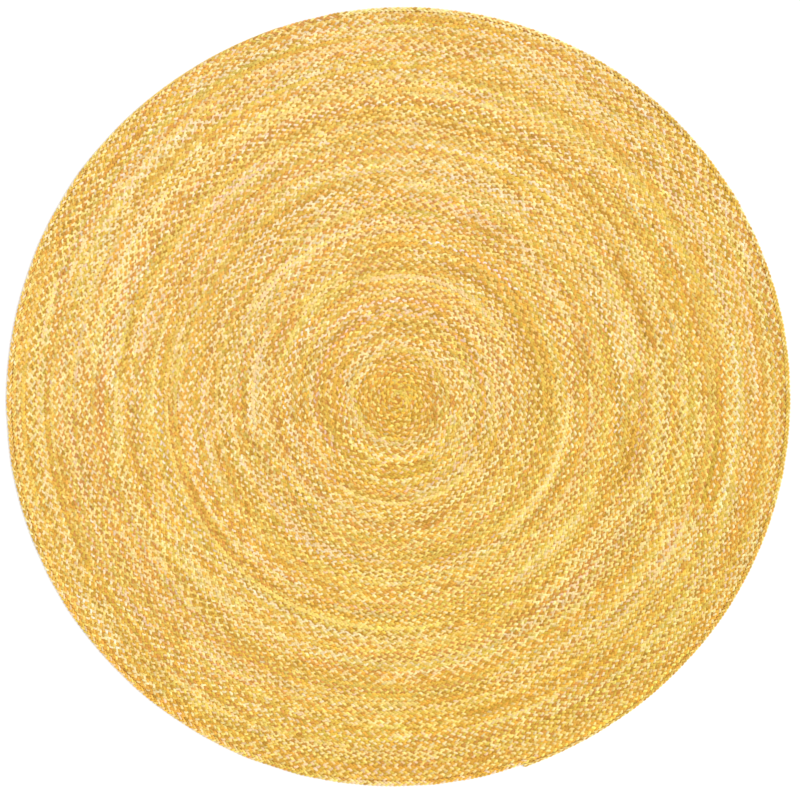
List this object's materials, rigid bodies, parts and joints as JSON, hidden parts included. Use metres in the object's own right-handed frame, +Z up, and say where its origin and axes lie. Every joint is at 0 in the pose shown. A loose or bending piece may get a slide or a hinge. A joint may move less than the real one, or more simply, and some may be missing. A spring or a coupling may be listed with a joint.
{
  "type": "round braided chindi rug",
  "caption": "Flat round reversible rug of three-strand fabric-strip plaits, coiled in a double spiral and sewn edge to edge; lies loose on the floor",
  "frame": {"origin": "middle of the footprint on the underside", "axes": "+Z up through the rug's thickness, +X and +Y in the floor plane; +X is the picture's right and +Y its top"},
  "size_m": [1.829, 1.8186, 0.009],
  "materials": {
    "cotton_chindi_yellow": "matt plaited cotton strips in cream, lemon, gold, mustard and apricot"
  },
  "bodies": {
    "root": {"braided_rug": "cotton_chindi_yellow"}
  },
  "joints": []
}
